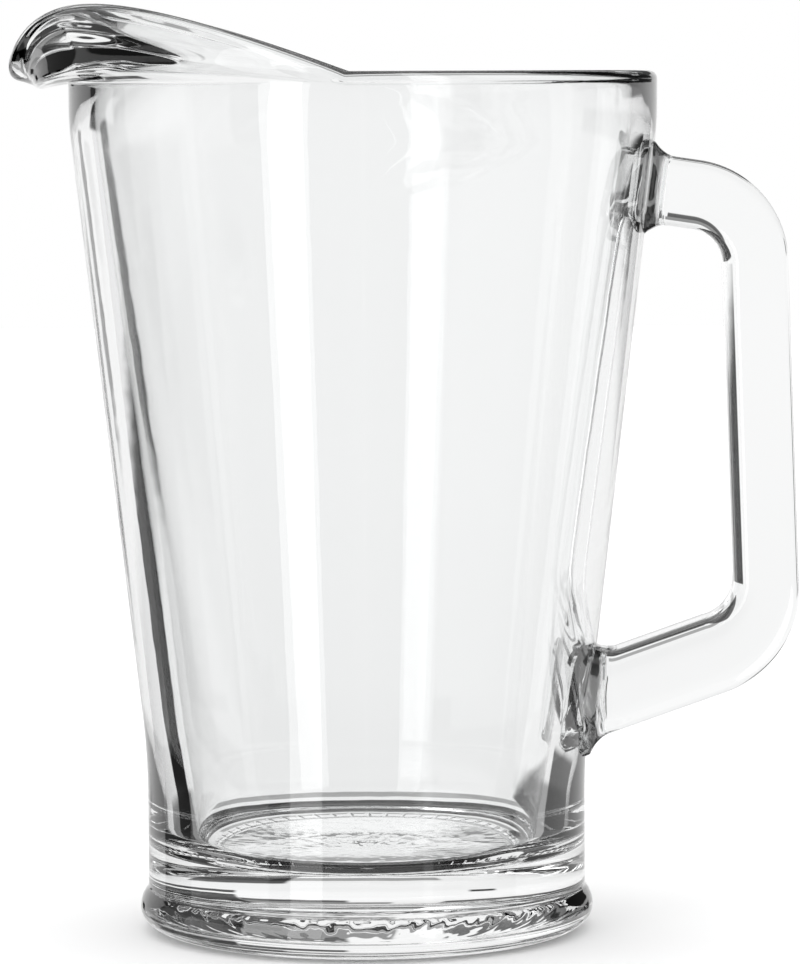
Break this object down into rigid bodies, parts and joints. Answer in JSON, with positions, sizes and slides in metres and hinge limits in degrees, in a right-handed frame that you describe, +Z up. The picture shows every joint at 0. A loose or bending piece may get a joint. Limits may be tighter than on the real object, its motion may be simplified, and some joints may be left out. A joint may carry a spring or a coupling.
{
  "type": "glass beer pitcher",
  "caption": "Clear pressed-glass beer pitcher: flared bowl on a thick foot, raised pouring spout opposite an open loop handle fused to the wall.",
  "frame": {"origin": "on the table plane, on the axis of the round body", "axes": "+Z up along the body's axis, +X towards the handle, -X towards the spout"},
  "size_m": [0.1934, 0.1448, 0.2276],
  "materials": {
    "clear_glass": "fire-polished, clear"
  },
  "bodies": {
    "root": {"foot_base": "clear_glass", "wall": "clear_glass", "spout_lip": "clear_glass", "handle": "clear_glass"}
  },
  "joints": []
}
